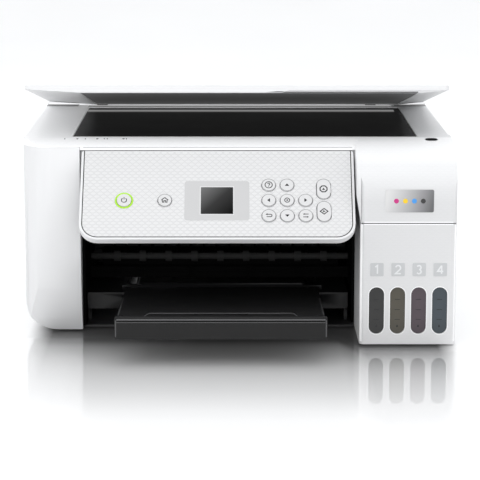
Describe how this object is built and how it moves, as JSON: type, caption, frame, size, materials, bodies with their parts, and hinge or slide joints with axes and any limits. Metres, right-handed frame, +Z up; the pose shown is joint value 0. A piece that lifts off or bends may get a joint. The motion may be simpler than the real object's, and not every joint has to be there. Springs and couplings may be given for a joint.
{
  "type": "inkjet printer",
  "caption": "Multifunction ink tank printer with flatbed scanner, slanted control panel, pull-out paper tray and refillable tanks.",
  "frame": {"origin": "on the table under the middle of the printer with its paper tray pulled out, at the middle of its box", "axes": "+Z up, -Y out of the front where the tray is, +X to the viewer's right"},
  "size_m": [0.375, 0.4184, 0.2191],
  "materials": {
    "white_shell": "cool white, finely grained",
    "dark_shell": "dark grey, matt",
    "tray_dark": "dark grey, satin",
    "black_frame": "black, matt",
    "foot_rubber": "black rubber",
    "sheet_steel": "bare galvanised",
    "motor_dark": "grey",
    "roller_steel": "ground",
    "roller_rubber": "matt",
    "gear_plastic": "natural white",
    "felt": "pressed felt",
    "tube_plastic": "satin",
    "circuit_board": "solder mask",
    "panel_white": "white with a fine printed pattern",
    "display_window": "smooth",
    "light_ring": "lit, lime green",
    "key_white": "white",
    "platen_glass": "polished, dark below",
    "lid_pad": "dark grey sheet on foam",
    "tank_black": "translucent with black ink",
    "tank_yellow": "translucent with yellow ink",
    "tank_magenta": "translucent with magenta ink",
    "tank_cyan": "translucent with cyan ink",
    "cap_black": "matt",
    "cap_yellow": "matt",
    "cap_magenta": "matt",
    "cap_cyan": "matt"
  },
  "bodies": {
    "base": {"bottom_case": "dark_shell", "rubber_feet": "foot_rubber", "left_side_cover": "white_shell", "right_side_cover": "white_shell", "tank_front_cover": "white_shell", "ink_tank_black": "tank_black", "ink_tank_yellow": "tank_yellow", "ink_tank_magenta": "tank_magenta", "ink_tank_cyan": "tank_cyan", "rear_cover": "white_shell", "inner_frame": "black_frame", "carriage_guide": "sheet_steel", "drive_motors": "motor_dark", "platen": "black_frame", "capping_station": "black_frame", "waste_ink_pad": "felt", "ink_tubes": "tube_plastic", "power_supply": "sheet_steel", "main_board": "circuit_board", "feeder_hopper": "black_frame", "panel_housing": "white_shell", "panel_faceplate": "panel_white", "lcd_window": "display_window", "power_ring": "light_ring", "panel_board": "circuit_board", "tray_base": "tray_dark"},
    "scanner": {"scanner_deck": "white_shell", "scanner_pan": "white_shell", "platen_glass": "platen_glass", "scan_rail": "sheet_steel", "lid_hinges": "dark_shell"},
    "scan_head": {"scan_bar": "black_frame"},
    "lid": {"lid_cover": "white_shell", "lid_pad": "lid_pad"},
    "tray": {"output_tray": "tray_dark"},
    "stopper": {"paper_stopper": "tray_dark"},
    "support": {"paper_support": "dark_shell"},
    "guide_left": {"edge_guide_left": "dark_shell"},
    "guide_right": {"edge_guide_right": "dark_shell"},
    "feed_shaft": {"feed_roller": "roller_steel"},
    "idler": {"idler_gear": "gear_plastic"},
    "exit_shaft": {"exit_roller": "roller_rubber"},
    "pickup_shaft": {"pickup_roller": "roller_rubber"},
    "print_carriage": {"carriage": "dark_shell"},
    "cap_black": {"tank_cap_black": "cap_black"},
    "cap_yellow": {"tank_cap_yellow": "cap_yellow"},
    "cap_magenta": {"tank_cap_magenta": "cap_magenta"},
    "cap_cyan": {"tank_cap_cyan": "cap_cyan"},
    "key_power": {"button_power": "key_white"},
    "key_home": {"button_home": "key_white"},
    "key_help": {"button_help": "key_white"},
    "key_up": {"button_up": "key_white"},
    "key_left": {"button_left": "key_white"},
    "key_ok": {"button_ok": "key_white"},
    "key_right": {"button_right": "key_white"},
    "key_back": {"button_back": "key_white"},
    "key_down": {"button_down": "key_white"},
    "key_swap": {"button_swap": "key_white"},
    "key_stop": {"button_stop": "key_white"},
    "key_start": {"button_start": "key_white"}
  },
  "joints": [
    {"name": "scanner_tilt", "type": "hinge", "parent": "base", "child": "scanner", "pos_m": [0, 0.18173, 0.158], "axis": [-1, 0, 0], "range_deg": [0, 25]},
    {"name": "scan_travel", "type": "slide", "parent": "scanner", "child": "scan_head", "axis": [1, 0, 0], "range_m": [0, 0.316]},
    {"name": "lid_hinge", "type": "hinge", "parent": "scanner", "child": "lid", "pos_m": [0, 0.16873, 0.1763], "axis": [-1, 0, 0], "range_deg": [-8.9, 61.1]},
    {"name": "tray_slide", "type": "slide", "parent": "base", "child": "tray", "axis": [0, 0.9987, -0.0506], "range_m": [0, 0.145]},
    {"name": "stopper_hinge", "type": "hinge", "parent": "tray", "child": "stopper", "pos_m": [-0.0134, -0.20437, 0.0389], "axis": [1, 0, 0], "range_deg": [0, 95]},
    {"name": "support_slide", "type": "slide", "parent": "base", "child": "support", "axis": [0, 0.2079, 0.9781], "range_m": [0, 0.092]},
    {"name": "guide_left_slide", "type": "slide", "parent": "base", "child": "guide_left", "axis": [1, 0, 0], "range_m": [0, 0.045]},
    {"name": "guide_right_slide", "type": "slide", "parent": "base", "child": "guide_right", "axis": [1, 0, 0], "range_m": [-0.045, 0]},
    {"name": "feed_spin", "type": "hinge", "parent": "base", "child": "feed_shaft", "pos_m": [0, 0.06073, 0.052], "axis": [1, 0, 0], "continuous": true},
    {"name": "idler_spin", "type": "hinge", "parent": "base", "child": "idler", "pos_m": [-0.139, 0.03323, 0.052], "axis": [1, 0, 0], "continuous": true},
    {"name": "exit_spin", "type": "hinge", "parent": "base", "child": "exit_shaft", "pos_m": [0, 0.00573, 0.052], "axis": [1, 0, 0], "continuous": true},
    {"name": "pickup_spin", "type": "hinge", "parent": "base", "child": "pickup_shaft", "pos_m": [0, 0.16917, 0.084], "axis": [1, 0, 0], "continuous": true},
    {"name": "carriage_travel", "type": "slide", "parent": "base", "child": "print_carriage", "axis": [1, 0, 0], "range_m": [-0.238, 0]},
    {"name": "cap_black_hinge", "type": "hinge", "parent": "base", "child": "cap_black", "pos_m": [0.11962, -0.09777, 0.1061], "axis": [-1, 0, 0], "range_deg": [0, 100]},
    {"name": "cap_yellow_hinge", "type": "hinge", "parent": "base", "child": "cap_yellow", "pos_m": [0.13767, -0.09777, 0.1061], "axis": [-1, 0, 0], "range_deg": [0, 100]},
    {"name": "cap_magenta_hinge", "type": "hinge", "parent": "base", "child": "cap_magenta", "pos_m": [0.15573, -0.09777, 0.1061], "axis": [-1, 0, 0], "range_deg": [0, 100]},
    {"name": "cap_cyan_hinge", "type": "hinge", "parent": "base", "child": "cap_cyan", "pos_m": [0.17378, -0.09777, 0.1061], "axis": [-1, 0, 0], "range_deg": [0, 100]},
    {"name": "key_power_press", "type": "slide", "parent": "base", "child": "key_power", "axis": [0, 0.766, -0.6428], "range_m": [0, 0.0008], "stiffness_N_per_m": 400, "springref_m": -0.0005},
    {"name": "key_home_press", "type": "slide", "parent": "base", "child": "key_home", "axis": [0, 0.766, -0.6428], "range_m": [0, 0.0008], "stiffness_N_per_m": 400, "springref_m": -0.0005},
    {"name": "key_help_press", "type": "slide", "parent": "base", "child": "key_help", "axis": [0, 0.766, -0.6428], "range_m": [0, 0.0008], "stiffness_N_per_m": 400, "springref_m": -0.0005},
    {"name": "key_up_press", "type": "slide", "parent": "base", "child": "key_up", "axis": [0, 0.766, -0.6428], "range_m": [0, 0.0008], "stiffness_N_per_m": 400, "springref_m": -0.0005},
    {"name": "key_left_press", "type": "slide", "parent": "base", "child": "key_left", "axis": [0, 0.766, -0.6428], "range_m": [0, 0.0008], "stiffness_N_per_m": 400, "springref_m": -0.0005},
    {"name": "key_ok_press", "type": "slide", "parent": "base", "child": "key_ok", "axis": [0, 0.766, -0.6428], "range_m": [0, 0.0008], "stiffness_N_per_m": 400, "springref_m": -0.0005},
    {"name": "key_right_press", "type": "slide", "parent": "base", "child": "key_right", "axis": [0, 0.766, -0.6428], "range_m": [0, 0.0008], "stiffness_N_per_m": 400, "springref_m": -0.0005},
    {"name": "key_back_press", "type": "slide", "parent": "base", "child": "key_back", "axis": [0, 0.766, -0.6428], "range_m": [0, 0.0008], "stiffness_N_per_m": 400, "springref_m": -0.0005},
    {"name": "key_down_press", "type": "slide", "parent": "base", "child": "key_down", "axis": [0, 0.766, -0.6428], "range_m": [0, 0.0008], "stiffness_N_per_m": 400, "springref_m": -0.0005},
    {"name": "key_swap_press", "type": "slide", "parent": "base", "child": "key_swap", "axis": [0, 0.766, -0.6428], "range_m": [0, 0.0008], "stiffness_N_per_m": 400, "springref_m": -0.0005},
    {"name": "key_stop_press", "type": "slide", "parent": "base", "child": "key_stop", "axis": [0, 0.766, -0.6428], "range_m": [0, 0.0008], "stiffness_N_per_m": 400, "springref_m": -0.0005},
    {"name": "key_start_press", "type": "slide", "parent": "base", "child": "key_start", "axis": [0, 0.766, -0.6428], "range_m": [0, 0.0008], "stiffness_N_per_m": 400, "springref_m": -0.0005}
  ],
  "couplings": [
    {"joint": "idler_spin", "follows": "feed_spin", "ratio": -1.037},
    {"joint": "exit_spin", "follows": "feed_spin", "ratio": 1},
    {"joint": "guide_right_slide", "follows": "guide_left_slide", "ratio": -1}
  ]
}
